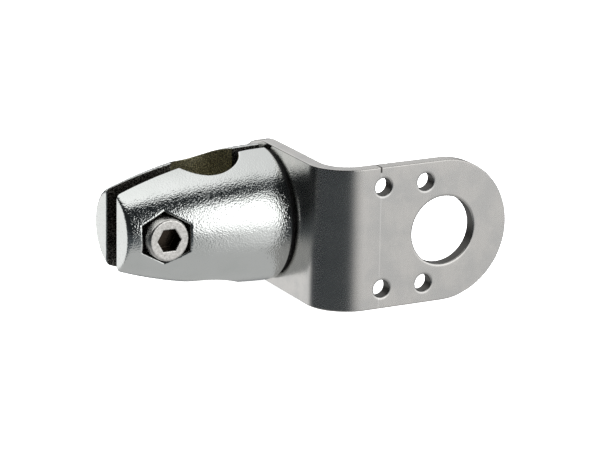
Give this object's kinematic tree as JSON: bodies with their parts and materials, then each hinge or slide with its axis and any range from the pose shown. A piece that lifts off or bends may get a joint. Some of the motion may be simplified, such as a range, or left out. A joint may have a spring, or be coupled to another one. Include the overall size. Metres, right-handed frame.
{
  "type": "rail clamp mount",
  "caption": "Two-half cast rail clamp with a swivelling right-angled mounting bracket, drawn together by a socket-head screw across its nose.",
  "frame": {"origin": "middle of the rail bore, on the swivel axis", "axes": "+Z along the rail, +X from the clamp's nose to the bracket, -Y towards the clamp screw's head"},
  "size_m": [0.1384, 0.0775, 0.054],
  "materials": {
    "bracket_plate": "satin brushed stainless sheet",
    "clamp_half_front": "polished cast chrome with a fine pebbled surface",
    "clamp_half_rear": "polished cast chrome with a fine pebbled surface",
    "clamp_screw": "plain stainless steel",
    "clamp_nut": "plain stainless steel",
    "swivel_hub": "turned stainless steel",
    "hub_pin": "ground steel dowel",
    "friction_washer": "black nylon",
    "pivot_flat_washer": "plain stainless steel",
    "pivot_spring_washer": "plain stainless steel",
    "pivot_screw": "plain stainless steel"
  },
  "bodies": {
    "rear": {"clamp_half_rear": "clamp_half_rear", "clamp_nut": "clamp_nut"},
    "front": {"clamp_half_front": "clamp_half_front"},
    "screw": {"clamp_screw": "clamp_screw"},
    "bracket": {"bracket_plate": "bracket_plate", "swivel_hub": "swivel_hub", "hub_pin": "hub_pin", "friction_washer": "friction_washer", "pivot_flat_washer": "pivot_flat_washer", "pivot_spring_washer": "pivot_spring_washer", "pivot_screw": "pivot_screw"}
  },
  "joints": [
    {"name": "bracket_swivel", "type": "hinge", "parent": "rear", "child": "bracket", "pos_m": [0.02, 0, 0], "axis": [1, 0, 0], "continuous": true},
    {"name": "front_half_slide", "type": "slide", "parent": "rear", "child": "front", "axis": [0, -1, 0], "range_m": [0, 0.008]},
    {"name": "clamp_screw_turn", "type": "hinge", "parent": "front", "child": "screw", "pos_m": [-0.02425, -0.011, 0], "axis": [0, -1, 0], "range_deg": [0, 1920]}
  ],
  "couplings": [
    {"joint": "clamp_screw_turn", "follows": "front_half_slide", "rad_per_m": 4188.8}
  ]
}
